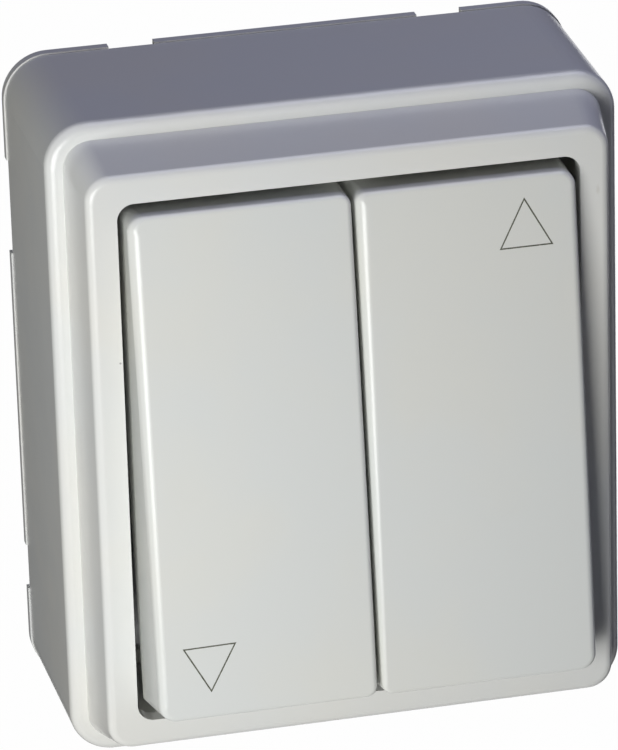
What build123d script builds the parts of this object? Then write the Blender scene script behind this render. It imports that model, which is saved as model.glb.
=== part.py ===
from build123d import *

import os
from math import cos, radians, sin

# Surface-mounted double push-button for roller blinds. Lengths in millimetres, angles in degrees.
# The wall is the plane Y = 0, the front looks along -Y, X points right and Z up.
# A depth is a distance from the wall towards the front, so it lies at Y = -depth.

# Base plate
base_width = 66.0
base_height = 77.5
base_corner = 5.3
rim_thickness = 1.2
floor_thickness = 2.0
top_notch_width = 5.3
top_notch_centre = 18.0
upper_side_notch = (15.0, 26.4)
lower_side_notch = (-27.3, -21.7)
collar_wall = 1.4
collar_depth = 5.5
collar_clearance = 0.25
wall_slot_spacing = 60.0
wall_slot_radius = 2.2
wall_slot_length = 8.0
wall_slot_boss = 1.4
wall_slot_boss_height = 1.0
cable_window_width = 15.0
cable_window_height = 10.0
cable_window_margin = 1.0
cable_window_edge = 1.45
post_diameter = 7.0
post_rib = 1.4
post_rib_length = 7.0
snap_width = 6.0
snap_reach = 0.5
snap_height = 1.2
snap_x = 19.0

# Housing cover
joint_gap = 0.12
cover_step = 0.15
wall_draft = 0.9
bead_corner = 5.0
bead_radius = 1.2
crease_ledge = 0.7
frame_foot_corner = 3.2
frame_inset_side = 3.5
frame_inset_end = 4.3
frame_corner = 2.8
frame_rise = 7.35
front_depth = 31.4
frame_edge_radius = 0.95
cover_wall = 2.0
frame_rail_side = 3.3
frame_rail_end = 3.15
opening_corner = 1.9
snap_pocket_clearance = 0.2
breakout_width = 14.0
breakout_height = 9.0
breakout_skin = 0.8

# Keys
rest_tilt = 7.2
pivot_below_front = 4.0
key_gap_side = 0.9
key_gap_middle = 0.42
key_gap_end = 2.05
key_front_height = 9.45
key_crown = 0.2
skirt_clearance = 0.65
key_end_draft = 3.2
key_front_corner = 2.0
key_rear_corner = 0.5
key_edge_radius = 1.3
key_wall = 1.6
key_face_wall = 1.8
key_rib = 1.2
key_rib_count = 4
key_rib_spacing = 11.0
hook_length = 5.0
hook_thickness = 1.1
hook_nose = 0.5
hook_nose_height = 0.9
hook_clearance = 0.1
hook_flex_gap = 0.39
hook_place = 11.0
bearing_notch_half_length = 5.0

# Rockers
rocker_end_gap = 1.0
rocker_hub_clearance = 0.3
rocker_half_length = 15.0
rocker_plate_low = 3.2
rocker_plate_high = 5.2
rocker_hub_radius = 2.6
rocker_web = 1.5
rocker_web_inset = 0.8
rocker_web_foot = 5.0
rocker_chamfer = 0.4
stop_arm = 13.0
stop_radius = 0.9
stop_width = 3.0
stop_clearance = 0.05
nose_arm = 8.0
nose_radius = 1.2
nose_drop = 2.4
nose_width = 4.0
nose_clearance = 0.05

# Pivot pin and its bearings
pin_radius = 1.2
pin_fit = 0.02
rocker_bore_clearance = 0.05
bearing_radius = 2.5
bearing_foot = 8.0
middle_bearing_width = 4.0
outer_bearing_width = 1.9

# Switch insert
plate_below_pivot = 4.4
insert_side_gap = 0.5
insert_corner = 1.5
insert_back_wall = 2.0
ring_thickness = 1.2
ring_edge_gap = 0.3
ring_end_margin = 2.5
ring_corner = 4.0
ring_window_width = 30.0
ring_window_height = 38.0
ring_slot_length = 6.6
ring_slot_width = 3.6
insert_plate_thickness = 1.4
spigot_clearance = 0.2
insert_screw_edge = 2.9
well_radius = 3.2
strip_thickness = 0.8
strip_width = 5.0
strip_clearance = 0.2
channel_width = 9.4
clamp_width = 6.0
clamp_length = 6.2
clamp_gap = 0.65
clamp_behind_strip = 3.7
clamp_before_strip = 4.0
clamp_clearance = 0.2
clamp_end_wall = 1.6
wire_bore_radius = 1.5
wire_entry_clearance = 0.3
clamp_screw_level = 2.1
line_bar_low = 11.5

# Plungers and contacts
plunger_radius = 1.8
plunger_guide_clearance = 0.1
plunger_collar_radius = 3.0
plunger_collar_height = 1.2
stem_radius = 1.0
stem_length = 2.4
bridge_behind_ring = 4.1
bridge_thickness = 0.6
bridge_width = 4.4
contact_reach = 5.8
contact_radius = 1.1
contact_height = 0.3
contact_margin = 0.4
fixed_contact_height = 0.35
closed_contact_gap = 0.03
guide_boss_wall = 1.2
guide_boss_height = 0.4

# Return springs
spring_wire_radius = 0.22
spring_radius = 2.1
spring_turns = 5
spring_wire_sides = 6
spring_room = 7.2
spring_seat_gap = 0.08

# Screws
small_screw_radius = 1.1
small_head_radius = 2.0
small_head_height = 0.8
small_screw_length = 6.0
ring_screw_radius = 1.45
ring_head_radius = 2.7
ring_head_height = 1.7
ring_screw_length = 9.0
clamp_screw_radius = 1.2
clamp_head_radius = 2.2
clamp_head_height = 1.4
screw_fit = 0.02
slot_width = 0.7
slot_cut = 0.6

# Worked out from the sizes above: the housing
SIDES = ((-1, "down"), (1, "up"))
cover_width = base_width - 2 * cover_step
cover_height = base_height - 2 * cover_step
cover_corner = base_corner - cover_step
bead_foot_depth = rim_thickness + joint_gap
bead_front_width = base_width - wall_draft
bead_front_height = base_height - wall_draft
bead_front_depth = front_depth - frame_rise
frame_foot_width = bead_front_width - 2 * (bead_radius + crease_ledge)
frame_foot_height = bead_front_height - 2 * (bead_radius + crease_ledge)
frame_width = base_width - 2 * frame_inset_side
frame_height = base_height - 2 * frame_inset_end
opening_width = frame_width - 2 * frame_rail_side
opening_height = frame_height - 2 * frame_rail_end
inner_step_depth = bead_front_depth - cover_wall
cavity_width = frame_width - 2 * cover_wall
cavity_height = frame_height - 2 * cover_wall
collar_outer_width = cover_width - 2 * (cover_wall + collar_clearance)
collar_outer_height = cover_height - 2 * (cover_wall + collar_clearance)
collar_corner = cover_corner - cover_wall - collar_clearance

# Worked out: the depths of the mechanism, from the pivot back to the wall
pivot_depth = front_depth - pivot_below_front
insert_plate_depth = pivot_depth - plate_below_pivot
ring_front_depth = insert_plate_depth - insert_plate_thickness
ring_back_depth = ring_front_depth - ring_thickness
tilt_sin = sin(radians(rest_tilt))
tilt_cos = cos(radians(rest_tilt))
plunger_z = -nose_arm * tilt_cos - nose_drop * tilt_sin
nose_rest_depth = pivot_depth + nose_arm * tilt_sin - nose_drop * tilt_cos
nose_pressed_depth = pivot_depth - nose_drop
plunger_travel = nose_rest_depth - nose_pressed_depth
plunger_top_depth = nose_rest_depth - nose_radius - nose_clearance
bridge_front_depth = ring_back_depth - bridge_behind_ring
bridge_back_depth = bridge_front_depth - bridge_thickness
contact_rest_depth = bridge_back_depth - contact_height
fixed_contact_depth = contact_rest_depth - plunger_travel - closed_contact_gap
strip_front_depth = fixed_contact_depth - fixed_contact_height
strip_back_depth = strip_front_depth - strip_thickness
well_depth = bridge_back_depth - spring_room
clamp_back_depth = strip_back_depth - clamp_behind_strip
clamp_front_depth = strip_front_depth + clamp_before_strip
clamp_screw_depth = clamp_back_depth + clamp_screw_level
insert_back_depth = clamp_back_depth - insert_back_wall

# Worked out: the widths and heights of the mechanism
post_spacing = cavity_width - 2 * (ring_head_radius + ring_edge_gap)
ring_width = cavity_width - 2 * ring_edge_gap
insert_width = post_spacing - post_diameter - 2 * insert_side_gap
bridge_length = 2 * (contact_reach + contact_radius + contact_margin)
contact_far = plunger_z - contact_reach
contact_near = plunger_z + contact_reach
clamp_near = bridge_length / 2 - plunger_z + clamp_gap
clamp_far = clamp_near + clamp_length
insert_height = 2 * (clamp_far + clamp_end_wall)
ring_height = insert_height + 2 * ring_end_margin
insert_screw_spacing_x = insert_width - 2 * insert_screw_edge
insert_screw_spacing_z = insert_height - 2 * insert_screw_edge
channel_end = clamp_near + strip_clearance
cable_window_x = (post_spacing - cable_window_width) / 2 - cable_window_margin
cable_window_z = (cable_window_height - collar_outer_height) / 2 + collar_wall + cable_window_edge

# Worked out: the keys and their rockers
key_outer = opening_width / 2 - key_gap_side
key_inner = key_gap_middle / 2
key_width = key_outer - key_inner
key_centre = (key_outer + key_inner) / 2
half_length = opening_height / 2 - key_gap_end
key_low = (insert_height / 2 * tilt_sin - plate_below_pivot + skirt_clearance) / tilt_cos
key_skirt = key_front_height - key_low
rear_half_length = half_length + sin(radians(key_end_draft)) * key_skirt
crown_radius = (half_length**2 + key_crown**2) / (2 * key_crown)
cavity_high = key_front_height - key_face_wall - key_crown
rocker_inner = key_inner + key_wall + hook_flex_gap + hook_thickness + hook_clearance
rocker_outer = insert_width / 2 - outer_bearing_width - rocker_end_gap
rocker_centre = (rocker_inner + rocker_outer) / 2
rocker_width = rocker_outer - rocker_inner
hub_inner = middle_bearing_width / 2 + rocker_hub_clearance
hub_outer = insert_width / 2 - outer_bearing_width - rocker_hub_clearance
hub_centre = (hub_inner + hub_outer) / 2
lower_stop_height = stop_clearance + stop_radius - plate_below_pivot
upper_stop_height = (lower_stop_height + stop_arm * tilt_sin) / tilt_cos
pole_x = rocker_centre


def front_plane(depth):
    """Plane that looks at the front, at a depth from the wall: local x is X and local y is Z."""
    return Plane(origin=(0, -depth, 0), x_dir=(1, 0, 0), z_dir=(0, -1, 0))


def key_plane(x):
    """Side plane through the pivot, tilted with a key at rest: local x runs up the key, local y outwards."""
    return Plane(origin=(x, -pivot_depth, 0), x_dir=(0, tilt_sin, tilt_cos), z_dir=(1, 0, 0))


def key_face(x, height):
    """Plane along a key's face at rest, at a height above the pivot: local x is X, y runs up the key."""
    return Plane(
        origin=(x, -pivot_depth - height * tilt_cos, height * tilt_sin),
        x_dir=(1, 0, 0),
        z_dir=(0, -tilt_cos, tilt_sin),
    )


def side_plane(x):
    """Upright side plane at the depth of the pivot: local x runs up, local y outwards."""
    return Plane(origin=(x, -pivot_depth, 0), x_dir=(0, 0, 1), z_dir=(1, 0, 0))


def save(part, name):
    """Label one finished piece and write it."""
    part.label = name
    export_step(part, f"parts/{name}.step")


def rounded_block(width, height, corner, low, high, mode=Mode.ADD):
    """Straight block with rounded corners between two depths."""
    with BuildSketch(front_plane(low)) as section:
        RectangleRounded(width, height, corner)
    extrude(section.sketch, amount=high - low, mode=mode)


def leaning_block(low_section, high_section, low, high, mode=Mode.ADD):
    """Block whose rounded section changes between two depths. A section is width, height and corner."""
    with BuildSketch(front_plane(low)) as low_sketch:
        RectangleRounded(*low_section)
    with BuildSketch(front_plane(high)) as high_sketch:
        RectangleRounded(*high_section)
    loft([low_sketch.sketch.face(), high_sketch.sketch.face()], ruled=True, mode=mode)


def column(x, z, radius, low, high, mode=Mode.ADD):
    """Round column along the depth."""
    with BuildSketch(front_plane(low)) as section:
        with Locations((x, z)):
            Circle(radius)
    extrude(section.sketch, amount=high - low, mode=mode)


def bar(x_range, z_range, low, high, mode=Mode.ADD):
    """Plain bar between two places on X, two on Z and two depths."""
    with BuildSketch(front_plane(low)) as section:
        with Locations(((x_range[0] + x_range[1]) / 2, (z_range[0] + z_range[1]) / 2)):
            Rectangle(x_range[1] - x_range[0], z_range[1] - z_range[0])
    extrude(section.sketch, amount=high - low, mode=mode)


def screw(x, z, head_back, head_radius, head_height, shank_radius, length):
    """Slotted screw that looks at the front, with its head's underside at a depth."""
    column(x, z, shank_radius, head_back - length, head_back)
    column(x, z, head_radius, head_back, head_back + head_height)
    bar(
        (x - head_radius, x + head_radius),
        (z - slot_width / 2, z + slot_width / 2),
        head_back + head_height - slot_cut,
        head_back + head_height,
        Mode.SUBTRACT,
    )


os.makedirs("parts", exist_ok=True)

# Base plate: rim pads against the wall, floor, collar inside the cover, posts for the support ring
notch_depth = (base_width - collar_outer_width) / 2

with BuildPart() as base_plate:
    rounded_block(base_width, base_height, base_corner, 0, rim_thickness)
    rounded_block(collar_outer_width, collar_outer_height, collar_corner, 0, collar_depth)
    rounded_block(
        collar_outer_width - 2 * collar_wall,
        collar_outer_height - 2 * collar_wall,
        collar_corner - collar_wall,
        floor_thickness,
        collar_depth,
        Mode.SUBTRACT,
    )
    for side in (-1, 1):
        for x in (-top_notch_centre, top_notch_centre):
            z_edge = side * base_height / 2
            bar(
                (x - top_notch_width / 2, x + top_notch_width / 2),
                sorted((z_edge, z_edge - side * notch_depth)),
                0,
                rim_thickness,
                Mode.SUBTRACT,
            )
        for notch in (upper_side_notch, lower_side_notch):
            x_edge = side * base_width / 2
            bar(sorted((x_edge, x_edge - side * notch_depth)), notch, 0, rim_thickness, Mode.SUBTRACT)
    for z in (-wall_slot_spacing / 2, wall_slot_spacing / 2):
        with BuildSketch(front_plane(floor_thickness)):
            with Locations((0, z)):
                SlotOverall(
                    wall_slot_length + 2 * wall_slot_boss,
                    2 * (wall_slot_radius + wall_slot_boss),
                    rotation=90,
                )
        extrude(amount=wall_slot_boss_height)
        with BuildSketch(front_plane(0)):
            with Locations((0, z)):
                SlotOverall(wall_slot_length, 2 * wall_slot_radius, rotation=90)
        extrude(amount=floor_thickness + wall_slot_boss_height, mode=Mode.SUBTRACT)
    for side in (-1, 1):
        x = side * cable_window_x
        bar(
            (x - cable_window_width / 2, x + cable_window_width / 2),
            (cable_window_z - cable_window_height / 2, cable_window_z + cable_window_height / 2),
            0,
            floor_thickness,
            Mode.SUBTRACT,
        )
    for side in (-1, 1):
        x = side * post_spacing / 2
        column(x, 0, post_diameter / 2, 0, ring_back_depth)
        bar(
            (x - post_rib / 2, x + post_rib / 2),
            (-post_rib_length, post_rib_length),
            floor_thickness,
            ring_back_depth - post_rib_length,
        )
        column(
            x,
            0,
            ring_screw_radius + screw_fit,
            ring_front_depth - ring_screw_length,
            ring_back_depth,
            Mode.SUBTRACT,
        )
    snap_front = collar_depth
    for side in (-1, 1):
        z_edge = side * collar_outer_height / 2
        for x in (-snap_x, snap_x):
            bar(
                (x - snap_width / 2, x + snap_width / 2),
                sorted((z_edge - side * snap_reach, z_edge + side * (snap_reach + collar_clearance))),
                snap_front - snap_height,
                snap_front,
            )
save(base_plate.part, "base_plate")

# Housing cover: straight walls, rounded bead, raised frame and opening, with an even wall inside
with BuildPart() as housing_cover:
    leaning_block(
        (cover_width, cover_height, cover_corner),
        (bead_front_width, bead_front_height, bead_corner),
        bead_foot_depth,
        bead_front_depth,
    )
    fillet(housing_cover.faces().sort_by(Axis.Y)[0].edges(), bead_radius)
    leaning_block(
        (frame_foot_width, frame_foot_height, frame_foot_corner),
        (frame_width, frame_height, frame_corner),
        bead_front_depth,
        front_depth,
    )
    fillet(housing_cover.faces().sort_by(Axis.Y)[0].edges(), frame_edge_radius)
    leaning_block(
        (cover_width - 2 * cover_wall, cover_height - 2 * cover_wall, cover_corner - cover_wall),
        (
            bead_front_width - 2 * cover_wall,
            bead_front_height - 2 * cover_wall,
            bead_corner - cover_wall,
        ),
        bead_foot_depth,
        inner_step_depth,
        Mode.SUBTRACT,
    )
    rounded_block(
        cavity_width,
        cavity_height,
        frame_corner - cover_wall / 2,
        inner_step_depth,
        front_depth - cover_wall,
        Mode.SUBTRACT,
    )
    rounded_block(
        opening_width,
        opening_height,
        opening_corner,
        front_depth - cover_wall,
        front_depth,
        Mode.SUBTRACT,
    )
    pocket_reach = snap_reach + snap_pocket_clearance
    for side in (-1, 1):
        z_wall = side * (cover_height / 2 - cover_wall)
        for x in (-snap_x, snap_x):
            bar(
                (x - snap_width / 2 - snap_pocket_clearance, x + snap_width / 2 + snap_pocket_clearance),
                sorted((z_wall - side * pocket_reach, z_wall + side * pocket_reach)),
                snap_front - snap_height - snap_pocket_clearance,
                snap_front + snap_pocket_clearance,
                Mode.SUBTRACT,
            )
    breakout_centre_depth = (collar_depth + inner_step_depth) / 2
    with BuildSketch(Plane.XY.offset(-cover_height / 2 + breakout_skin)):
        with Locations((0, -breakout_centre_depth)):
            RectangleRounded(breakout_width, breakout_height, frame_corner)
    extrude(amount=cover_wall, mode=Mode.SUBTRACT)
save(housing_cover.part, "housing_cover")

# Keys: crowned shells with a drafted skirt, stiffening ribs and hooks that hold them on their rockers
cavity_half_length = half_length - key_wall
cavity_rear_half_length = rear_half_length - key_wall

for side, name in SIDES:
    with BuildPart() as key:
        with BuildSketch(key_face(side * key_centre, key_low)):
            RectangleRounded(key_width, 2 * rear_half_length, key_rear_corner)
        with BuildSketch(key_face(side * key_centre, key_front_height)):
            RectangleRounded(key_width, 2 * half_length, key_front_corner)
        loft(ruled=True)
        with BuildSketch(key_plane(side * key_centre)):
            with Locations((0, key_front_height - crown_radius)):
                Circle(crown_radius)
        extrude(amount=key_width, both=True, mode=Mode.INTERSECT)
        front_face = key.faces().filter_by(GeomType.CYLINDER).sort_by(SortBy.AREA)[-1]
        fillet(front_face.edges(), key_edge_radius)
        with BuildSketch(key_plane(side * key_centre)):
            with BuildLine():
                Polyline(
                    (-cavity_half_length, cavity_high),
                    (-cavity_rear_half_length, key_low),
                    (cavity_rear_half_length, key_low),
                    (cavity_half_length, cavity_high),
                    close=True,
                )
            make_face()
        extrude(amount=key_width / 2 - key_wall, both=True, mode=Mode.SUBTRACT)
        with BuildSketch(key_plane(side * key_inner)):
            Rectangle(2 * bearing_notch_half_length, 2 * rocker_plate_low)
        extrude(amount=side * key_wall, mode=Mode.SUBTRACT)
        for index in range(key_rib_count):
            place = (index - (key_rib_count - 1) / 2) * key_rib_spacing
            with BuildSketch(key_plane(side * key_centre)):
                with Locations((place, (cavity_high + rocker_plate_high) / 2)):
                    Rectangle(key_rib, cavity_high - rocker_plate_high)
            extrude(amount=key_width / 2 - key_wall, both=True)
        hook_low = rocker_plate_low - hook_clearance - hook_nose_height
        for place in (-hook_place, hook_place):
            for edge, outward in ((rocker_inner, -1), (rocker_outer, 1)):
                wall_start = side * (edge + outward * hook_clearance)
                with BuildSketch(key_plane(wall_start)):
                    with Locations((place, (cavity_high + hook_low) / 2)):
                        Rectangle(hook_length, cavity_high - hook_low)
                extrude(amount=side * outward * hook_thickness)
                with BuildSketch(key_plane(wall_start)):
                    with Locations((place, hook_low + hook_nose_height / 2)):
                        Rectangle(hook_length, hook_nose_height)
                extrude(amount=-side * outward * (hook_nose + hook_clearance))
    save(key.part, f"key_{name}")

# Rockers: hub on the pin, plate under the key, side webs, two stop feet and the nose over the plunger
for side, name in SIDES:
    with BuildPart() as rocker:
        with BuildSketch(key_plane(side * rocker_centre)):
            with Locations((0, (rocker_plate_low + rocker_plate_high) / 2)):
                Rectangle(2 * rocker_half_length, rocker_plate_high - rocker_plate_low)
        extrude(amount=rocker_width / 2, both=True)
        chamfer(rocker.faces().sort_by(Axis.Y)[0].edges(), rocker_chamfer)
        with BuildSketch(key_plane(side * hub_centre)):
            Circle(rocker_hub_radius)
        extrude(amount=(hub_outer - hub_inner) / 2, both=True)
        with BuildSketch(key_plane(side * rocker_centre)):
            with Locations((0, rocker_plate_low / 2)):
                Rectangle(2 * rocker_hub_radius, rocker_plate_low)
        extrude(amount=rocker_width / 2, both=True)
        for start in (rocker_inner + rocker_web_inset, rocker_outer - rocker_web_inset - rocker_web):
            with BuildSketch(key_plane(side * start)):
                with BuildLine():
                    Polyline(
                        (-rocker_web_foot, 0),
                        (rocker_web_foot, 0),
                        (rocker_half_length, rocker_plate_low),
                        (-rocker_half_length, rocker_plate_low),
                        close=True,
                    )
                make_face()
            extrude(amount=side * rocker_web)
        for arm, height in ((-stop_arm, lower_stop_height), (stop_arm, upper_stop_height)):
            with BuildSketch(key_plane(side * rocker_centre)):
                with Locations((arm, height)):
                    Circle(stop_radius)
                with Locations((arm, (height + rocker_plate_low) / 2)):
                    Rectangle(2 * stop_radius, rocker_plate_low - height)
            extrude(amount=stop_width / 2, both=True)
        with BuildSketch(key_plane(side * pole_x)):
            with Locations((-nose_arm, -nose_drop)):
                Circle(nose_radius)
            with Locations((-nose_arm, (rocker_plate_low - nose_drop) / 2)):
                Rectangle(2 * nose_radius, rocker_plate_low + nose_drop)
        extrude(amount=nose_width / 2, both=True)
        with BuildSketch(key_plane(side * rocker_centre)):
            Circle(pin_radius + rocker_bore_clearance)
        extrude(amount=rocker_width, both=True, mode=Mode.SUBTRACT)
    save(rocker.part, f"rocker_{name}")

# Pivot pin, pressed into the outer bearings and shared by both rockers
pin_half_length = insert_width / 2
with BuildPart() as pivot_pin:
    with BuildSketch(side_plane(0)):
        Circle(pin_radius)
    extrude(amount=pin_half_length, both=True)
    chamfer(pivot_pin.edges().filter_by(GeomType.CIRCLE), pin_radius / 4)
save(pivot_pin.part, "pivot_pin")

# Support ring: flat steel plate with a window for the insert and slots for its two screws
with BuildPart() as support_ring:
    rounded_block(ring_width, ring_height, ring_corner, ring_back_depth, ring_front_depth)
    rounded_block(
        ring_window_width,
        ring_window_height,
        insert_corner,
        ring_back_depth,
        ring_front_depth,
        Mode.SUBTRACT,
    )
    with BuildSketch(front_plane(ring_back_depth)):
        with GridLocations(post_spacing, 1, 2, 1):
            SlotOverall(ring_slot_length, ring_slot_width, rotation=90)
        with GridLocations(insert_screw_spacing_x, insert_screw_spacing_z, 2, 2):
            Circle(small_screw_radius + spigot_clearance)
    extrude(amount=ring_thickness, mode=Mode.SUBTRACT)
save(support_ring.part, "support_ring")

# Insert body: moulded block with the spring wells, the contact channels and the terminal pockets
terminals = (
    ("terminal_down", -pole_x, -1),
    ("terminal_up", pole_x, -1),
    ("terminal_line", 0, 1),
)
pocket_half = clamp_width / 2 + clamp_clearance
with BuildPart() as insert_body:
    rounded_block(insert_width, insert_height, insert_corner, insert_back_depth, ring_back_depth)
    chamfer(
        insert_body.faces().sort_by(Axis.Y)[-1].edges(),
        insert_corner / 2,
    )
    for side, name in SIDES:
        bar(
            (side * pole_x - channel_width / 2, side * pole_x + channel_width / 2),
            (-channel_end, channel_end),
            strip_back_depth,
            ring_back_depth,
            Mode.SUBTRACT,
        )
        column(side * pole_x, plunger_z, well_radius, well_depth, strip_back_depth, Mode.SUBTRACT)
    bar(
        (-pole_x, pole_x),
        (line_bar_low - strip_clearance, channel_end),
        strip_back_depth,
        ring_back_depth,
        Mode.SUBTRACT,
    )
    for name, x, end in terminals:
        bar(
            (x - pocket_half, x + pocket_half),
            sorted((end * (clamp_near - clamp_clearance), end * (clamp_far + clamp_clearance))),
            clamp_back_depth,
            ring_back_depth,
            Mode.SUBTRACT,
        )
        column(
            x,
            end * (clamp_near + clamp_far) / 2,
            wire_bore_radius + wire_entry_clearance,
            insert_back_depth,
            clamp_back_depth,
            Mode.SUBTRACT,
        )
        with BuildSketch(Plane.XY.offset(end * clamp_near)):
            with Locations((x, -clamp_screw_depth)):
                Circle(clamp_head_radius + clamp_clearance)
        extrude(amount=end * clamp_length * 2, mode=Mode.SUBTRACT)
    with BuildSketch(front_plane(insert_plate_depth - small_screw_length)):
        with GridLocations(insert_screw_spacing_x, insert_screw_spacing_z, 2, 2):
            Circle(small_screw_radius + screw_fit)
    extrude(amount=small_screw_length, mode=Mode.SUBTRACT)
save(insert_body.part, "insert_body")

# Insert plate: closes the body through the ring, guides the plungers and carries the bearings
guide_radius = plunger_radius + plunger_guide_clearance
bearings = (
    (-insert_width / 2, outer_bearing_width),
    (-middle_bearing_width / 2, middle_bearing_width),
    (insert_width / 2 - outer_bearing_width, outer_bearing_width),
)
with BuildPart() as insert_plate:
    rounded_block(insert_width, insert_height, insert_corner, ring_front_depth, insert_plate_depth)
    rounded_block(
        ring_window_width - 2 * spigot_clearance,
        ring_window_height - 2 * spigot_clearance,
        insert_corner,
        ring_back_depth,
        ring_front_depth,
    )
    for side, name in SIDES:
        column(
            side * pole_x,
            plunger_z,
            guide_radius + guide_boss_wall,
            insert_plate_depth,
            insert_plate_depth + guide_boss_height,
        )
        column(
            side * pole_x,
            plunger_z,
            guide_radius,
            ring_back_depth,
            insert_plate_depth + guide_boss_height,
            Mode.SUBTRACT,
        )
    for start, width in bearings:
        with BuildSketch(side_plane(start)):
            Circle(bearing_radius)
            with BuildLine():
                Polyline(
                    (-bearing_foot / 2, -plate_below_pivot),
                    (bearing_foot / 2, -plate_below_pivot),
                    (bearing_radius, 0),
                    (-bearing_radius, 0),
                    close=True,
                )
            make_face()
        extrude(amount=width)
    with BuildSketch(side_plane(0)):
        Circle(pin_radius + pin_fit)
    extrude(amount=insert_width, both=True, mode=Mode.SUBTRACT)
    with BuildSketch(front_plane(ring_front_depth)):
        with GridLocations(insert_screw_spacing_x, insert_screw_spacing_z, 2, 2):
            Circle(small_screw_radius + screw_fit)
    extrude(amount=insert_plate_thickness, mode=Mode.SUBTRACT)
save(insert_plate.part, "insert_plate")

# Plungers, contact bridges and return springs, one of each for either key
for side, name in SIDES:
    x = side * pole_x
    with BuildPart() as plunger:
        column(x, plunger_z, plunger_radius, bridge_front_depth, plunger_top_depth)
        column(
            x,
            plunger_z,
            plunger_collar_radius,
            bridge_front_depth,
            bridge_front_depth + plunger_collar_height,
        )
        column(x, plunger_z, stem_radius, bridge_back_depth - stem_length, bridge_front_depth)
        fillet(plunger.faces().sort_by(Axis.Y)[0].edges(), plunger_guide_clearance * 3)
    save(plunger.part, f"plunger_{name}")

    with BuildPart() as bridge:
        with BuildSketch(front_plane(bridge_back_depth)):
            with Locations((x, plunger_z)):
                SlotOverall(bridge_length, bridge_width, rotation=90)
                Circle(stem_radius + screw_fit, mode=Mode.SUBTRACT)
        extrude(amount=bridge_thickness)
        for reach in (-contact_reach, contact_reach):
            column(x, plunger_z + reach, contact_radius, contact_rest_depth, bridge_back_depth)
    save(bridge.part, f"contact_bridge_{name}")

    spring_low = well_depth + spring_seat_gap + spring_wire_radius
    spring_high = bridge_back_depth - spring_seat_gap - spring_wire_radius
    spring_height = spring_high - spring_low
    with BuildPart() as spring:
        with BuildLine() as coil:
            Helix(
                pitch=spring_height / spring_turns,
                height=spring_height,
                radius=spring_radius,
                center=(x, -spring_low, plunger_z),
                direction=(0, -1, 0),
            )
        with BuildSketch(Plane(origin=coil.line @ 0, z_dir=coil.line % 0)):
            RegularPolygon(spring_wire_radius, spring_wire_sides)
        sweep(path=coil.line, is_frenet=True)
    save(spring.part, f"return_spring_{name}")

# Terminals: a bored clamp with a strip that carries the fixed contact
for name, x, end in terminals:
    with BuildPart() as terminal:
        bar(
            (x - clamp_width / 2, x + clamp_width / 2),
            sorted((end * clamp_near, end * clamp_far)),
            clamp_back_depth,
            clamp_front_depth,
        )
        fillet(terminal.edges().filter_by(Axis.Z), strip_thickness)
        if end < 0:
            strip_end = contact_far + contact_radius + contact_margin
            bar(
                (x - strip_width / 2, x + strip_width / 2),
                (-clamp_near, strip_end),
                strip_back_depth,
                strip_front_depth,
            )
            column(x, contact_far, contact_radius, strip_front_depth, fixed_contact_depth)
        else:
            bar(
                (-pole_x - strip_width / 2, pole_x + strip_width / 2),
                (line_bar_low, clamp_near),
                strip_back_depth,
                strip_front_depth,
            )
            for side in (-1, 1):
                bar(
                    (side * pole_x - strip_width / 2, side * pole_x + strip_width / 2),
                    (contact_near - contact_radius - contact_margin, line_bar_low),
                    strip_back_depth,
                    strip_front_depth,
                )
                column(
                    side * pole_x,
                    contact_near,
                    contact_radius,
                    strip_front_depth,
                    fixed_contact_depth,
                )
        clamp_middle = end * (clamp_near + clamp_far) / 2
        column(x, clamp_middle, wire_bore_radius, clamp_back_depth, strip_back_depth, Mode.SUBTRACT)
        with BuildSketch(Plane.XY.offset(clamp_middle)):
            with Locations((x, -clamp_screw_depth)):
                Circle(clamp_screw_radius + screw_fit)
        extrude(amount=end * clamp_length, mode=Mode.SUBTRACT)
    save(terminal.part, name)

# Screws, in groups of one kind
with BuildPart() as clamp_screws:
    for name, x, end in terminals:
        with BuildSketch(Plane.XY.offset(end * (clamp_near + clamp_far) / 2)):
            with Locations((x, -clamp_screw_depth)):
                Circle(clamp_screw_radius)
        extrude(amount=end * clamp_length / 2)
        with BuildSketch(Plane.XY.offset(end * clamp_far)):
            with Locations((x, -clamp_screw_depth)):
                Circle(clamp_head_radius)
        extrude(amount=end * clamp_head_height)
        with BuildSketch(Plane.XY.offset(end * (clamp_far + clamp_head_height))):
            with Locations((x, -clamp_screw_depth)):
                Rectangle(2 * clamp_head_radius, slot_width)
        extrude(amount=-end * slot_cut, mode=Mode.SUBTRACT)
save(clamp_screws.part, "clamp_screws")

with BuildPart() as insert_screws:
    for x in (-insert_screw_spacing_x / 2, insert_screw_spacing_x / 2):
        for z in (-insert_screw_spacing_z / 2, insert_screw_spacing_z / 2):
            screw(
                x,
                z,
                insert_plate_depth,
                small_head_radius,
                small_head_height,
                small_screw_radius,
                small_screw_length,
            )
save(insert_screws.part, "insert_screws")

with BuildPart() as ring_screws:
    for x in (-post_spacing / 2, post_spacing / 2):
        screw(
            x,
            0,
            ring_front_depth,
            ring_head_radius,
            ring_head_height,
            ring_screw_radius,
            ring_screw_length,
        )
save(ring_screws.part, "ring_screws")
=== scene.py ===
"""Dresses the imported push-button switch: plastics, metals, printed signs, light and camera."""

import logging
import math
from dataclasses import dataclass, field, replace
from enum import Enum
from typing import Optional, Sequence, Union

import bmesh
import bpy
from mathutils import Matrix, Vector


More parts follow.
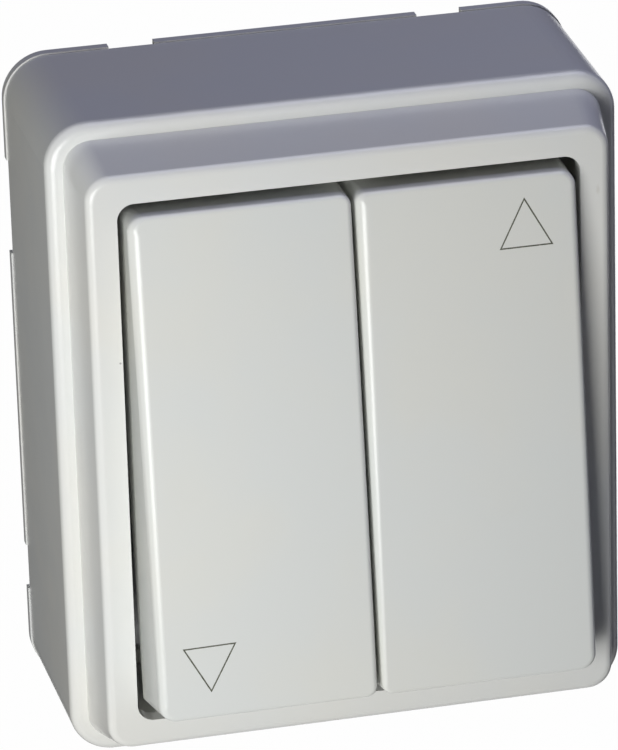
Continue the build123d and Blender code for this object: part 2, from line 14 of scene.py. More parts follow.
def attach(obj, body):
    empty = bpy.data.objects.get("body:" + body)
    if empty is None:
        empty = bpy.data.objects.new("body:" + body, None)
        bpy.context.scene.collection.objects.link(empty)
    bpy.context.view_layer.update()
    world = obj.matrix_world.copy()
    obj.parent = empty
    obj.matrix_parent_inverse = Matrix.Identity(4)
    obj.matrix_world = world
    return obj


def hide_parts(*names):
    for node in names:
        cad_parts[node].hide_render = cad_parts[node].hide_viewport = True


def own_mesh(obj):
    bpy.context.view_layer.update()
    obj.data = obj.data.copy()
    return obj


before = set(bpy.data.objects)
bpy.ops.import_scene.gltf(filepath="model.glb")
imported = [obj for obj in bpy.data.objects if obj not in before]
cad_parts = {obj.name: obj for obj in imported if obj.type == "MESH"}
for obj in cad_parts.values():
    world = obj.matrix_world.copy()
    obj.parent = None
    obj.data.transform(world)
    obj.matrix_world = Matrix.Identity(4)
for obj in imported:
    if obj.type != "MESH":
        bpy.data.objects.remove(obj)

log = logging.getLogger("switch")
MM = 0.001
Number = Union[int, float]
Colour = tuple[float, float, float]
Place = tuple[float, float, float]
Range = tuple[float, float]
WHITE: Colour = (1.0, 1.0, 1.0)


class Side(Enum):
    """Which of the two keys a piece belongs to."""

    DOWN = -1
    UP = 1

    @property
    def word(self) -> str:
        """The side's name as the nodes use it."""
        return self.name.lower()


class Sock:
    """Wraps an output socket, so that shader maths reads as Python expressions."""

    def __init__(self, graph: "Graph", socket: bpy.types.NodeSocket) -> None:
        """Keeps the socket and the graph that it belongs to.

        Args:
            graph: The graph that new Math nodes go into.
            socket: The output socket.
        """
        self.graph = graph
        self.socket = socket

    def _math(self, operation: str, *values: Union["Sock", Number]) -> "Sock":
        """Adds one Math node.

        Args:
            operation: The Math node's operation.
            values: The node's inputs, in order.

        Returns:
            The node's result.
        """
        return self.graph.node("ShaderNodeMath", {"operation": operation}, dict(enumerate(values)))

    def __add__(self, other: Union["Sock", Number]) -> "Sock":
        """Sum of two values."""
        return self._math("ADD", self, other)

    __radd__ = __add__

    def __sub__(self, other: Union["Sock", Number]) -> "Sock":
        """Difference of two values."""
        return self._math("SUBTRACT", self, other)

    def __rsub__(self, other: Union["Sock", Number]) -> "Sock":
        """Difference of two values, the other way round."""
        return self._math("SUBTRACT", other, self)

    def __mul__(self, other: Union["Sock", Number]) -> "Sock":
        """Product of two values."""
        return self._math("MULTIPLY", self, other)

    __rmul__ = __mul__

    def ramp(self, source: Range, start: float = 0.0, end: float = 1.0) -> "Sock":
        """Maps a range smoothly onto another.

        Args:
            source: The values that become start and end.
            start: The result at and below the lower value.
            end: The result at and above the higher value.

        Returns:
            The mapped value.
        """
        low, high = source
        return self.graph.node(
            "ShaderNodeMapRange",
            {"interpolation_type": "SMOOTHSTEP"},
            {"Value": self, "From Min": low, "From Max": high, "To Min": start, "To Max": end},
        )


class Graph:
    """The node tree of one material or of the world, with one method for every kind of node."""

    # A Mix node has sockets for every kind of data: these are its factor, its two colours and the
    # colour that comes out.
    MIX_INPUTS = (0, 6, 7)
    MIX_RESULT = 2

    def __init__(self, owner: Union[bpy.types.Material, bpy.types.World]) -> None:
        """Empties the owner's tree and gives it an output.

        Args:
            owner: The material or world to fill.
        """
        owner.use_nodes = True
        self.tree = owner.node_tree
        self.tree.nodes.clear()
        kind = "World" if isinstance(owner, bpy.types.World) else "Material"
        self.output = self.tree.nodes.new(f"ShaderNodeOutput{kind}")

    def node(
        self,
        kind: str,
        settings: Optional[dict[str, str]] = None,
        inputs: Optional[dict[Union[int, str], object]] = None,
        out: Union[int, str] = 0,
    ) -> Sock:
        """Adds one node.

        Args:
            kind: The node's type name.
            settings: Attributes that are set first, such as an operation.
            inputs: Socket name or index to a value or a linked socket.
            out: The output that is returned.

        Returns:
            The chosen output.
        """
        made = self.tree.nodes.new(kind)
        for name, value in (settings or {}).items():
            setattr(made, name, value)
        for name, value in (inputs or {}).items():
            target = made.inputs[name]
            if isinstance(value, Sock):
                self.tree.links.new(value.socket, target)
            else:
                target.default_value = value
        return Sock(self, made.outputs[out])

    def mix(
        self, factor: Union[Sock, float], first: Union[Sock, Colour], second: Union[Sock, Colour]
    ) -> Sock:
        """Mixes two colours.

        Args:
            factor: How much of the second colour.
            first: Colour or socket at factor 0.
            second: Colour or socket at factor 1.

        Returns:
            The mixed colour.
        """
        values = (factor, self.rgba(first), self.rgba(second))
        inputs = dict(zip(self.MIX_INPUTS, values))
        return self.node("ShaderNodeMix", {"data_type": "RGBA"}, inputs, self.MIX_RESULT)

    @staticmethod
    def rgba(value: Union[Sock, Colour]) -> Union[Sock, tuple[float, ...]]:
        """A colour with its fourth number, or a socket as it is."""
        return value if isinstance(value, Sock) else (*value, 1.0)

    def place(self) -> Sock:
        """The place in the row frame, which runs on over neighbouring pieces."""
        return self.node("ShaderNodeTexCoord", out="Object")

    def finish(self, shader: Sock) -> None:
        """Links a shader to the output."""
        self.tree.links.new(shader.socket, self.output.inputs["Surface"])


@dataclass(frozen=True)
class Noise:
    """A noise in the row frame: waves for each metre, octaves, their strength and a stretch."""

    scale: float
    detail: float = 2.0
    rough: float = 0.5
    stretch: Optional[Place] = None

    def value(self, graph: Graph) -> Sock:
        """Adds the noise to a graph.

        Args:
            graph: The graph to add to.

        Returns:
            The noise value, about 0.5 in the mean.
        """
        place = graph.place()
        if self.stretch:
            place = graph.node("ShaderNodeMapping", None, {"Vector": place, "Scale": self.stretch})
        named = {
            "Vector": place,
            "Scale": self.scale,
            "Detail": self.detail,
            "Roughness": self.rough,
        }
        return graph.node("ShaderNodeTexNoise", None, named)


@dataclass(frozen=True)
class Smudge:
    """A small soft-edged mark on the plastic, with its place and reach in millimetres."""

    centre: Place
    reach: Place
    colour: Colour
    strength: float
    rim: Range = (0.4, 1.3)
    rag: Noise = Noise(2400.0)
    rag_depth: float = 0.5

    def mask(self, graph: Graph) -> Sock:
        """How strongly the mark covers each place.

        Args:
            graph: The graph to add to.

        Returns:
            The cover, from nought to the mark's strength.
        """
        vector = graph.place()
        for operation, row in (("SUBTRACT", self.centre), ("DIVIDE", self.reach)):
            inputs = {0: vector, 1: tuple(value * MM for value in row)}
            vector = graph.node("ShaderNodeVectorMath", {"operation": operation}, inputs)
        far = graph.node("ShaderNodeVectorMath", {"operation": "LENGTH"}, {0: vector}, "Value")
        return (far + self.rag.value(graph) * self.rag_depth).ramp(self.rim, self.strength, 0.0)


@dataclass(frozen=True)
class MouldedPlastic:
    """Smooth moulded plastic with faint flow marks, an eggshell grain and a handling sheen."""

    name: str
    colour: Colour
    roughness: float = 0.24
    tint: float = 0.012
    smudges: tuple[Smudge, ...] = ()
    flow: Noise = Noise(38.0, 3.0, 0.55)
    flow_range: Range = (0.35, 0.65)
    flow_sheen: float = 0.04
    cloud: Noise = Noise(150.0, 4.0, 0.6)
    cloud_sheen: float = 0.06
    cloud_relief: float = 0.6
    dust_range: Range = (0.55, 0.8)
    dust_cover: float = 0.12
    dust_shade: float = 0.93
    grain: Noise = Noise(2600.0)
    grain_strength: float = 0.06
    grain_depth: float = 0.04 * MM
    ior: float = 1.5
    specular: float = 0.45

    def shaded(self, factors: Sequence[float]) -> Colour:
        """The plastic's colour times one factor for each channel."""
        return tuple(channel * factor for channel, factor in zip(self.colour, factors))

    def material(self) -> bpy.types.Material:
        """Builds the material.

        Returns:
            The finished material.
        """
        made = bpy.data.materials.new(self.name)
        graph = Graph(made)
        flow, cloud, grain = (noise.value(graph) for noise in (self.flow, self.cloud, self.grain))
        warm = self.shaded((1.0 + self.tint, 1.0, 1.0 - 2 * self.tint))
        cool = self.shaded((1.0 - self.tint, 1.0 - self.tint / 2, 1.0))
        base = graph.mix(flow.ramp(self.flow_range), cool, warm)
        dust = cloud.ramp(self.dust_range) * self.dust_cover
        base = graph.mix(dust, base, self.shaded((self.dust_shade,) * 3))
        for smudge in self.smudges:
            base = graph.mix(smudge.mask(graph), base, smudge.colour)
        relief = {
            "Strength": self.grain_strength,
            "Distance": self.grain_depth,
            "Height": grain + cloud * self.cloud_relief,
        }
        sheen = (cloud - 0.5) * self.cloud_sheen + (flow - 0.5) * self.flow_sheen
        named = {
            "Base Color": base,
            "Roughness": self.roughness + sheen,
            "Normal": graph.node("ShaderNodeBump", None, relief),
            "IOR": self.ior,
            "Specular IOR Level": self.specular,
        }
        graph.finish(graph.node("ShaderNodeBsdfPrincipled", None, named))
        return made


@dataclass(frozen=True)
class BrightMetal:
    """Plated, rolled or drawn metal with fine streaks and a few dull patches."""

    name: str
    colour: Colour
    dull: Colour
    roughness: float
    streaks: Noise = Noise(4.0, 5.0, stretch=(900.0, 60.0, 60.0))
    streak_sheen: float = 0.22
    streak_strength: float = 0.12
    streak_depth: float = 0.03 * MM
    patches: Noise = Noise(260.0, 4.0, 0.6)
    patch_range: Range = (0.48, 0.72)
    patch_sheen: float = 0.12

    def material(self) -> bpy.types.Material:
        """Builds the material.

        Returns:
            The finished material.
        """
        made = bpy.data.materials.new(self.name)
        graph = Graph(made)
        streaks, patches = self.streaks.value(graph), self.patches.value(graph)
        relief = {
            "Strength": self.streak_strength,
            "Distance": self.streak_depth,
            "Height": streaks,
        }
        sheen = (streaks - 0.5) * self.streak_sheen + (patches - 0.5) * self.patch_sheen
        named = {
            "Base Color": graph.mix(patches.ramp(self.patch_range), self.colour, self.dull),
            "Metallic": 1.0,
            "Roughness": self.roughness + sheen,
            "Normal": graph.node("ShaderNodeBump", None, relief),
        }
        graph.finish(graph.node("ShaderNodeBsdfPrincipled", None, named))
        return made


@dataclass(frozen=True)
class PadPrint:
    """Thin olive-grey print, a little uneven in its cover."""

    name: str
    colour: Colour
    thin: Colour
    roughness: float = 0.5
    cover: Noise = Noise(2200.0, 3.0, 0.6)
    thin_range: Range = (0.45, 0.8)
    cover_sheen: float = 0.2

    def material(self) -> bpy.types.Material:
        """Builds the material.

        Returns:
            The finished material.
        """
        made = bpy.data.materials.new(self.name)
        graph = Graph(made)
        cover = self.cover.value(graph)
        named = {
            "Base Color": graph.mix(cover.ramp(self.thin_range), self.colour, self.thin),
            "Roughness": self.roughness + (cover - 0.5) * self.cover_sheen,
        }
        graph.finish(graph.node("ShaderNodeBsdfPrincipled", None, named))
        return made


Finish = Union[MouldedPlastic, BrightMetal, PadPrint]

CREAM = MouldedPlastic("cream_housing_plastic", (0.80, 0.808, 0.78))
CREAM_KEY = MouldedPlastic("cream_key_plastic", (0.775, 0.79, 0.755), 0.25)
CREAM_BASE = MouldedPlastic("cream_base_plastic", (0.76, 0.765, 0.745), 0.3)
# The insert's near-black colour is painted shade: it stands in for the shade inside the gaps round
# the keys, where the insert shows.
INSERT_DARK_AS_GAP_SHADE = MouldedPlastic("insert_plastic_painted_gap_shade", (0.07, 0.072, 0.076), 0.5, 0.01)
PALE_ROCKER = MouldedPlastic("pale_rocker_plastic", (0.42, 0.42, 0.40), 0.48)
NATURAL_PLUNGER = MouldedPlastic("natural_plunger_plastic", (0.50, 0.48, 0.42), 0.45)
# Plated steel whose colour is darkened below the metal's own as painted shade, so that the ring and
# screws seen in the gaps read as dark as the shade there.
ZINC_AND_GAP_SHADE = BrightMetal("zinc_plated_steel_and_gap_shade", (0.34, 0.345, 0.36), (0.24, 0.245, 0.255), 0.32)
SPRING = BrightMetal("drawn_spring_wire", (0.55, 0.56, 0.58), (0.38, 0.38, 0.40), 0.28)
BRASS = BrightMetal("contact_brass", (0.72, 0.56, 0.27), (0.50, 0.38, 0.18), 0.34)
PRINT = PadPrint("sign_print", (0.11, 0.115, 0.085), (0.21, 0.215, 0.17))


def dressed(finish: Finish) -> bpy.types.Material:
    """The material of a finish, built once."""
    return bpy.data.materials.get(finish.name) or finish.material()


def linked(name: str, data: bpy.types.ID) -> bpy.types.Object:
    """Makes an object and links it into the scene.

    Args:
        name: The object's name.
        data: Its mesh, lamp or camera.

    Returns:
        The new object.
    """
    made = bpy.data.objects.new(name, data)
    bpy.context.scene.collection.objects.link(made)
    return made


def meshed(name: str, mesh: bmesh.types.BMesh, material: bpy.types.Material) -> bpy.types.Object:
    """Turns a mesh into an object with one material.

    Args:
        name: The object's name.
        mesh: The mesh, which is used up.
        material: Its material.

    Returns:
        The new object.
    """
    data = bpy.data.meshes.new(name)
    mesh.to_mesh(data)
    mesh.free()
    data.materials.append(material)
    return linked(name, data)


def stand_in(name: str, node: str, body: str, finish: Finish) -> bpy.types.Object:
    """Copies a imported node's mesh into a new piece that replaces the node.

    Args:
        name: The new piece's name.
        node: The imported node.
        body: The body that the piece rides on.
        finish: The piece's finish.

    Returns:
        The new piece.
    """
    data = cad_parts[node].data.copy()
    data.materials.clear()
    data.materials.append(dressed(finish))
    piece = linked(name, data)
    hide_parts(node)
    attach(piece, body)
    return piece


class SubAssembly:
    """CAD nodes that belong together, with the pieces that are added to them."""

    def finishes(self) -> dict[str, Finish]:
        """The finish of each CAD node."""
        return {}

    def build(self) -> list[bpy.types.Object]:
        """Builds the added pieces; a sub-assembly that is all CAD has none."""
        return []

    def dress(self) -> None:
        """Puts each CAD node's finish on its material slots."""
        for name, finish in self.finishes().items():
            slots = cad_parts[name].data.materials
            slots.clear()
            slots.append(dressed(finish))
            log.info("dressed %s in %s", name, finish.name)


@dataclass
class KeyShape:
    """A key's tilted plane and crowned face at rest, with places in millimetres.

    The lower half settles a little at its end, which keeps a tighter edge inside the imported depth.
    """

    pivot_depth: float = 27.4
    tilt: float = math.radians(7.2)
    front: float = 9.45
    crown: float = 0.2
    half_length: float = 29.25
    settle: float = 0.05

    def point(self, x: float, along: float, out: float) -> Vector:
        """A place on the key in the row frame.

        Args:
            x: Place along the pivot.
            along: Distance up the key from the pivot.
            out: Distance from the pivot, square to the key.

        Returns:
            The place in metres.
        """
        sine, cosine = math.sin(self.tilt), math.cos(self.tilt)
        depth = self.pivot_depth - along * sine + out * cosine
        height = along * cosine + out * sine
        return Vector((x, -depth, height)) * MM

    def place(self, point: Vector) -> Place:
        """The way back from a place in the row frame.

        Args:
            point: The place in metres.

        Returns:
            The place along the pivot, up the key and square to it.
        """
        sine, cosine = math.sin(self.tilt), math.cos(self.tilt)
        x, y, z = point / MM
        depth = -y - self.pivot_depth
        return x, z * cosine - depth * sine, z * sine + depth * cosine

    def along(self, z: float) -> float:
        """How far up the key a place of its face lies, from its height in the row frame."""
        return (z - self.front * math.sin(self.tilt)) / math.cos(self.tilt)

    def surface(self, along: float) -> float:
        """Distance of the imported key's crowned face from the pivot at one place up the key."""
        radius = (self.half_length**2 + self.crown**2) / (2 * self.crown)
        return self.front - radius + math.sqrt(radius**2 - along**2)

    def low_share(self, along: float) -> float:
        """How much of the lower end's changes a place takes, none above the pivot."""
        return (min(along, 0.0) / self.half_length) ** 2

    def face(self, along: float) -> float:
        """Distance of the settled face from the pivot at one place up the key."""
        return self.surface(along) - self.settle * self.low_share(along)


@dataclass
class TriangleSign:
    """An open triangle printed as a thin line on one key, with its corners seen from the front."""

    side: Side
    corners: Sequence[tuple[float, float]]
    line: float = 0.16
    lift: float = 0.012
    steps: int = 12
    shape: KeyShape = field(default_factory=KeyShape)

    def offset(self, distance: float) -> list[Vector]:
        """The triangle with its sides moved inwards.

        Args:
            distance: How far each side moves.

        Returns:
            The three corners.
        """
        points = [Vector(corner) for corner in self.corners]
        middle = sum(points, Vector((0.0, 0.0))) / len(points)
        lines = []
        for index, start in enumerate(points):
            run = (points[(index + 1) % len(points)] - start).normalized()
            normal = Vector((-run.y, run.x))
            if normal.dot(middle - start) < 0:
                normal = -normal
            lines.append((start + normal * distance, run))
        found = []
        for index in range(len(lines)):
            (a, u), (b, v) = lines[index - 1], lines[index]
            found.append(a + u * ((b - a).cross(v) / u.cross(v)))
        return found

    def rows(self, mesh: bmesh.types.BMesh) -> list[list[bmesh.types.BMVert]]:
        """Lays pairs of points across the line, all the way round the triangle.

        Args:
            mesh: The mesh that takes the points.

        Returns:
            The pairs in order, each from the outer rim to the inner.
        """
        rims = [self.offset(distance) for distance in (-self.line / 2, self.line / 2)]
        rows = []
        for index in range(len(self.corners)):
            for step in range(self.steps):
                row = []
                for rim in rims:
                    x, z = rim[index].lerp(rim[(index + 1) % len(rim)], step / self.steps)
                    along = self.shape.along(z)
                    out = self.shape.face(along) + self.lift
                    row.append(mesh.verts.new(self.shape.point(x, along, out)))
                rows.append(row)
        return rows

    def build(self) -> bpy.types.Object:
        """Builds the printed line and lets it ride on its key.

        Returns:
            The finished piece.
        """
        mesh = bmesh.new()
        rows = self.rows(mesh)
        for row, other in zip(rows, rows[1:] + rows[:1]):
            mesh.faces.new((row[0], other[0], other[1], row[1]))
        bmesh.ops.recalc_face_normals(mesh, faces=mesh.faces)
        if mesh.faces[0].normal.y > 0:
            bmesh.ops.reverse_faces(mesh, faces=mesh.faces)
        piece = meshed(f"sign_{self.side.word}", mesh, dressed(PRINT))
        for polygon in piece.data.polygons:
            polygon.use_smooth = True
        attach(piece, f"{self.side.word}_key")
        return piece


@dataclass
class KeySkin:
    """One packed key with its front edges and corners drawn in to the photograph's, in millimetres.

    The left edge has one radius at the bottom and one at the top. Inner is the side next to the
    other key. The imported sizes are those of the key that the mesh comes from.
    """

    side: Side
    finish: Finish
    left_edges: Range
    right_edge: float
    top_edge: float = 0.5
    bottom_edge: float = 0.45
    inner_corner: float = 1.3
    outer_corner: float = 2.0
    packed_edge: float = 1.3
    packed_corner: float = 2.0
    rear_corner: float = 0.5
    inner: float = 0.21
    outer: float = 25.3
    low: float = -0.7495
    rear_half_length: float = 29.8193
    slack: float = 0.01
    shorten: float = 0.34
    narrow: float = 0.07
    shape: KeyShape = field(default_factory=KeyShape)

    def left_edge(self, along: float) -> float:
        """Radius of the left edge at one place up the key.

        Args:
            along: Distance up the key from the pivot.

        Returns:
            The radius, between the bottom's and the top's.
        """
        bottom, top = self.left_edges
        share = min(max(along / self.shape.half_length, -1.0), 1.0) / 2 + 0.5
        return bottom + share * (top - bottom)

    def end(self, out: float) -> float:
        """Half length of the drafted key at one distance from the pivot."""
        share = (self.shape.front - out) / (self.shape.front - self.low)
        return self.shape.half_length + share * (self.rear_half_length - self.shape.half_length)

    def corner(self, front_corner: float, out: float) -> float:
        """Corner radius at one distance from the pivot, for a radius at the face."""
        share = (out - self.low) / (self.shape.front - self.low)
        return self.rear_corner + share * (front_corner - self.rear_corner)

    def drawn(self, x: float, along: float, out: float) -> Place:
        """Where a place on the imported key's edges goes; any other place stays.

        Args:
            x: Place along the pivot.
            along: Distance up the key from the pivot.
            out: Distance from the pivot, square to the key.

        Returns:
            The new place, in the same three directions.
        """
        across = abs(x)
        nearer = across < (self.inner + self.outer) / 2
        right = nearer if self.side is Side.DOWN else not nearer
        side = across - self.inner if nearer else self.outer - across
        end = self.end(out) - abs(along)
        face = self.shape.surface(along)
        sunk = face - out
        side_share = (self.right_edge if right else self.left_edge(along)) / self.packed_edge
        end_share = (self.top_edge if along > 0 else self.bottom_edge) / self.packed_edge
        limit = self.packed_edge + self.slack
        in_edge = sunk <= limit
        packed = self.corner(self.packed_corner, out)
        if side < packed and end < packed:
            turn = math.atan2(packed - end, packed - side)
            inside = packed - math.hypot(packed - end, packed - side)
            if inside > limit:
                return x, along, out
            if in_edge:
                share = side_share + (end_share - side_share) * turn / (math.pi / 2)
                sunk, inside = sunk * share, inside * share
            radius = self.corner(self.inner_corner if nearer else self.outer_corner, face - sunk)
            side = radius - (radius - inside) * math.cos(turn)
            end = radius - (radius - inside) * math.sin(turn)
        elif in_edge and side <= limit:
            side, sunk = side * side_share, sunk * side_share
        elif in_edge and end <= limit:
            end, sunk = end * end_share, sunk * end_share
        else:
            return x, along, out
        across = self.inner + side if nearer else self.outer - side
        along = math.copysign(self.end(face - sunk) - end, along)
        return math.copysign(across, x), along, self.shape.surface(along) - sunk

    def settled(self, x: float, along: float, out: float) -> Place:
        """Lowers and shortens the lower half and narrows the key a little, to the photograph.

        Args:
            x: Place along the pivot.
            along: Distance up the key from the pivot.
            out: Distance from the pivot, square to the key.

        Returns:
            The new place, in the same three directions.
        """
        share = self.shape.low_share(along)
        across = abs(x) + self.narrow * (self.outer - abs(x)) / (self.outer - self.inner)
        lower = self.shape.settle * share
        return math.copysign(across, x), along + self.shorten * share, out - lower

    def build(self) -> bpy.types.Object:
        """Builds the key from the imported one, which it stands for.

        Returns:
            The finished piece.
        """
        word = self.side.word
        piece = stand_in(
            f"key_skin_{word}", f"key_{word}", f"{word}_key", self.finish
        )
        normals = [Vector(loop.vector) for loop in piece.data.corner_normals]
        for vertex in piece.data.vertices:
            place = self.settled(*self.drawn(*self.shape.place(vertex.co)))
            vertex.co = self.shape.point(*place)
        piece.data.normals_split_custom_set(normals)
        return piece


@dataclass
class ReturnSpring:
    """The coil spring under one plunger, copied from the imported one and fixed to the housing.

    Sizes are in millimetres.
    """

    side: Side
    finish: Finish
    seat_depth: float = 8.5
    travel: float = 1.03

    def build(self) -> bpy.types.Object:
        """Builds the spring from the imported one, which it stands for.

        Returns:
            The finished piece.
        """
        word = self.side.word
        piece = stand_in(
            f"coil_{word}", f"return_spring_{word}", "housing", self.finish
        )
        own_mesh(piece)
        return piece


@dataclass
class Housing(SubAssembly):
    """The base plate on the wall and the cover with its raised frame, which has two small marks."""

    cover: MouldedPlastic = CREAM
    base: MouldedPlastic = CREAM_BASE
    smudges: tuple[Smudge, ...] = (
        Smudge((28.2, -31.4, 27.0), (0.3, 1.5, 0.75), (0.52, 0.47, 0.38), 0.22),
        Smudge((-26.5, -31.4, 12.72), (0.18, 1.5, 0.18), (0.25, 0.25, 0.25), 0.7),
    )

    def finishes(self) -> dict[str, Finish]:
        """The cover's finish, with the marks on it, and the base plate's."""
        marked = replace(self.cover, smudges=self.smudges)
        return {"housing_cover": marked, "base_plate": self.base}


@dataclass
class Keys(SubAssembly):
    """The two tilted keys with their printed signs, in millimetres.

    Each key has its left edge's radii at the bottom and the top, then its right edge's. The signs'
    corners are as seen from the front.
    """

    plastic: MouldedPlastic = CREAM_KEY
    edges: Sequence[tuple[Side, Range, float]] = (
        (Side.DOWN, (1.0, 1.3), 0.62),
        (Side.UP, (0.6, 1.3), 0.85),
    )
    signs: Sequence[tuple[Side, Sequence[tuple[float, float]]]] = (
        (Side.UP, ((19.21, 27.62), (16.27, 22.23), (22.17, 22.25))),
        (Side.DOWN, ((-22.21, -19.22), (-16.34, -19.14), (-19.35, -24.38))),
    )

    def finishes(self) -> dict[str, Finish]:
        """The finish of both keys."""
        return {f"key_{side.word}": self.plastic for side in Side}

    def build(self) -> list[bpy.types.Object]:
        """Builds both keys and prints a sign on each.

        Returns:
            The two keys, then the two signs.
        """
        skins = [KeySkin(side, self.plastic, left, right) for side, left, right in self.edges]
        signs = [TriangleSign(side, corners) for side, corners in self.signs]
        return [piece.build() for piece in skins + signs]


@dataclass
class Mechanism(SubAssembly):
    """The switch insert with its rockers, plungers and return springs."""

    body: Finish = INSERT_DARK_AS_GAP_SHADE
    rocker: Finish = PALE_ROCKER
    plunger: Finish = NATURAL_PLUNGER
    spring: Finish = SPRING

    def finishes(self) -> dict[str, Finish]:
        """The finish of each piece of the insert.

        Returns:
            Node name to finish.
        """
        named: dict[str, Finish] = {"insert_body": self.body, "insert_plate": self.body}
        for side in Side:
            named[f"rocker_{side.word}"] = self.rocker
            named[f"plunger_{side.word}"] = self.plunger
            named[f"return_spring_{side.word}"] = self.spring
        return named

    def build(self) -> list[bpy.types.Object]:
        """Builds the two springs."""
        return [ReturnSpring(side, self.spring).build() for side in Side]


@dataclass
class Contacts(SubAssembly):
    """The brass bridges and terminals, with their clamp screws."""

    brass: Finish = BRASS
    screw: Finish = ZINC_AND_GAP_SHADE

    def finishes(self) -> dict[str, Finish]:
        """The finish of each contact piece.

        Returns:
            Node name to finish.
        """
        named: dict[str, Finish] = {"terminal_line": self.brass, "clamp_screws": self.screw}
        for side in Side:
            named[f"terminal_{side.word}"] = self.brass
            named[f"contact_bridge_{side.word}"] = self.brass
        return named


@dataclass
class Fixings(SubAssembly):
    """The steel support ring, the pivot pin and the screws that hold the insert."""

    steel: Finish = ZINC_AND_GAP_SHADE
    nodes: Sequence[str] = ("support_ring", "pivot_pin", "ring_screws", "insert_screws")

    def finishes(self) -> dict[str, Finish]:
        """The same plated steel on every fixing."""
        return dict.fromkeys(self.nodes, self.steel)


@dataclass
class PhotoCamera:
    """The photograph's camera, in millimetres and degrees in the row frame."""

    yaw: float = 12.6508
    pitch: float = 22.9073
    roll: float = 1.6666
    focal_px: float = 5657.8
    right: float = -1.853
    down: float = -4.281
    away: float = 661.3
    height_px: float = 750.0
    sensor: float = 36.0
    clip: Range = (20.0, 20000.0)

    def axes(self) -> tuple[Vector, Vector, Vector]:
        """The camera's right, down and forward directions.

        Returns:
            Three unit vectors.
        """
        yaw, pitch, roll = (math.radians(a) for a in (self.yaw, self.pitch, self.roll))
        flat = math.cos(pitch)
        forward = Vector((math.sin(yaw) * flat, math.cos(yaw) * flat, -math.sin(pitch)))
        level = Vector((math.cos(yaw), -math.sin(yaw), 0.0))
        under = forward.cross(level)
        right = level * math.cos(roll) + under * math.sin(roll)
        down = under * math.cos(roll) - level * math.sin(roll)
        return right, down, forward

    def build(self) -> None:
        """Creates the camera and makes it the scene's own."""
        right, down, forward = self.axes()
        place = -(right * self.right + down * self.down + forward * self.away) * MM
        data = bpy.data.cameras.new("photo_camera")
        data.sensor_fit = "VERTICAL"
        data.sensor_height = self.sensor
        data.lens = self.focal_px / self.height_px * self.sensor
        data.clip_start, data.clip_end = (distance * MM for distance in self.clip)
        camera = linked("photo_camera", data)
        turn = Matrix((right, -down, -forward)).transposed().to_4x4()
        camera.matrix_world = Matrix.Translation(place) @ turn
        bpy.context.scene.camera = camera


@dataclass(frozen=True)
class SoftBox:
    """One soft studio lamp, in metres; one that isn't mirrored leaves no glint on the switch."""

    name: str
    place: Place
    aim: Place
    size: tuple[float, float]
    power: float
    colour: Colour = WHITE
    mirrored: bool = True

    def build(self) -> None:
        """Creates the lamp."""
        data = bpy.data.lights.new(self.name, "AREA")
        data.shape = "RECTANGLE"
        data.size, data.size_y = self.size
        data.energy = self.power
        data.color = self.colour
        lamp = linked(self.name, data)
        turn = (Vector(self.aim) - Vector(self.place)).to_track_quat("-Z", "Y").to_matrix()
        lamp.matrix_world = Matrix.Translation(self.place) @ turn.to_4x4()
        lamp.visible_camera = False
        lamp.visible_glossy = self.mirrored


@dataclass(frozen=True)
class DarkCard:
    """A black card that keeps the white surroundings' glare off the plastic, in metres.

    Only reflections see it. Its reach is from its middle. It turns by degrees about the vertical.
    """

    name: str
    place: Place
    reach: tuple[float, float]
    turn: float = 0.0
    colour: Colour = (0.03, 0.03, 0.03)

    def build(self) -> None:
        """Stands the card up."""
        mesh = bmesh.new()
        wide, high = self.reach
        corners = ((-wide, -high), (wide, -high), (wide, high), (-wide, high))
        mesh.faces.new([mesh.verts.new((x, 0.0, z)) for x, z in corners])
        turn = Matrix.Rotation(math.radians(self.turn), 4, "Z")
        mesh.transform(Matrix.Translation(self.place) @ turn)
        material = bpy.data.materials.new(self.name)
        graph = Graph(material)
        colour = {"Color": graph.rgba(self.colour)}
        graph.finish(graph.node("ShaderNodeBsdfDiffuse", None, colour))
        card = meshed(self.name, mesh, material)
        card.visible_camera = False
        card.visible_diffuse = False
        card.visible_shadow = False


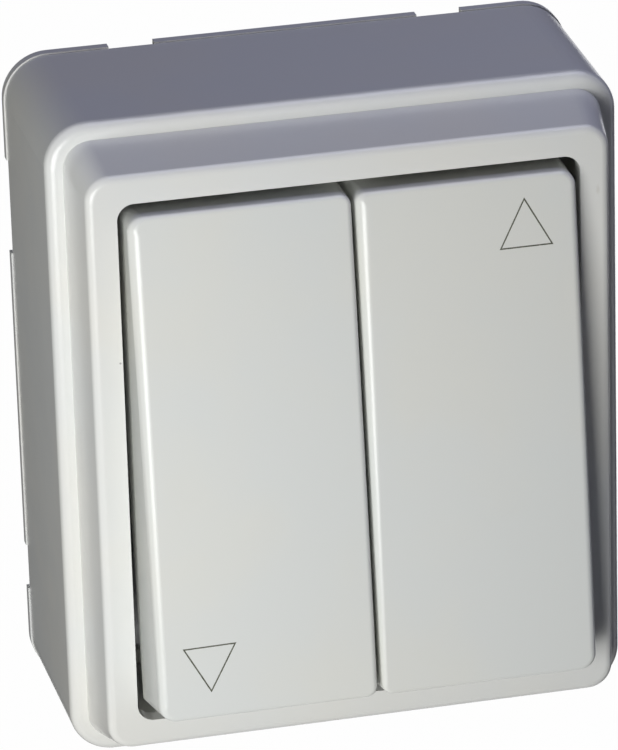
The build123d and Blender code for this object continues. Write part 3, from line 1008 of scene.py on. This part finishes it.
@dataclass
class Studio:
    """Plain pale floor, white surroundings and soft lamps, in metres."""

    floor_height: float = -0.7
    floor_size: float = 6.0
    floor_colour: Colour = (0.82, 0.82, 0.82)
    floor_glow: float = 0.99
    ambient: float = 0.03
    sky: Colour = (0.93, 0.96, 1.0)
    middle: Place = (0.0, -0.03, 0.0)
    top_tint: Colour = (0.72, 0.73, 1.0)
    cards: Sequence[DarkCard] = (
        DarkCard("left_card", (-0.78, 0.25, 0.4), (0.75, 1.0)),
        DarkCard("top_card", (0.72, 0.25, 0.75), (0.75, 0.75)),
        DarkCard("right_card", (0.35, 0.16, 0.2), (0.17, 0.8), 90.0),
        DarkCard("front_cloth", (0.0, -0.62, 0.5), (2.0, 1.1)),
    )

    def lamps(self) -> Sequence[SoftBox]:
        """The key lamp at the front left, one above and a small one behind for the back.

        Returns:
            The three lamps.
        """
        above = (0.18, -0.03, 0.48)
        behind = (0.0, 0.6, -0.01)
        return (
            SoftBox("key_lamp", (-0.150, -0.256, 0.002), self.middle, (0.17, 0.14), 0.70),
            SoftBox("top_lamp", above, self.middle, (0.32, 0.32), 0.82, self.top_tint),
            SoftBox("back_lamp", behind, (0.0, 0.0, 0.0), (0.05, 0.05), 2.8, mirrored=False),
        )

    def build(self) -> None:
        """Sets up the floor, the world, the lamps and the cards."""
        self._floor()
        self._world()
        for thing in (*self.lamps(), *self.cards):
            thing.build()

    def _floor(self) -> None:
        """Lays the pale floor well below the switch, which hangs free as on its wall."""
        mesh = bmesh.new()
        bmesh.ops.create_grid(mesh, x_segments=1, y_segments=1, size=self.floor_size / 2)
        bmesh.ops.translate(mesh, verts=mesh.verts, vec=(0, 0, self.floor_height))
        material = bpy.data.materials.new("pale_floor")
        graph = Graph(material)
        colour = {"Color": graph.rgba(self.floor_colour)}
        matt = graph.node("ShaderNodeBsdfDiffuse", None, colour)
        bright = graph.node("ShaderNodeEmission", None, {"Color": graph.rgba(WHITE)})
        share = self._seen(graph) * self.floor_glow
        graph.finish(graph.node("ShaderNodeMixShader", None, {0: share, 1: matt, 2: bright}))
        meshed("floor", mesh, material)

    def _world(self) -> None:
        """White to look at, and an even dim light on the switch."""
        world = bpy.data.worlds.new("studio")
        bpy.context.scene.world = world
        graph = Graph(world)
        dim, white = (
            graph.node("ShaderNodeBackground", None, {"Color": graph.rgba(tone), "Strength": power})
            for tone, power in ((self.sky, self.ambient), (WHITE, 1.0))
        )
        mixed = {0: self._seen(graph), 1: dim, 2: white}
        graph.finish(graph.node("ShaderNodeMixShader", None, mixed))

    @staticmethod
    def _seen(graph: Graph) -> Sock:
        """Tells the surface as it is looked at from the surface as it gives light.

        Args:
            graph: The graph to add to.

        Returns:
            One where the camera, a reflection or clear material looks, and nought elsewhere.
        """
        unseen = 1.0
        for name in ("Is Camera Ray", "Is Glossy Ray", "Is Transmission Ray"):
            unseen = unseen * (1 - graph.node("ShaderNodeLightPath", out=name))
        return 1 - unseen


def main() -> None:
    """Builds the scene in order."""
    logging.basicConfig(level=logging.INFO, format="%(name)s: %(message)s")
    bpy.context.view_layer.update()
    bpy.context.scene.view_settings.view_transform = "Standard"
    PhotoCamera().build()
    Studio().build()
    for part in (Housing(), Keys(), Mechanism(), Contacts(), Fixings()):
        part.dress()
        for piece in part.build():
            log.info("built %s", piece.name)


if __name__ == "__main__":
    main()
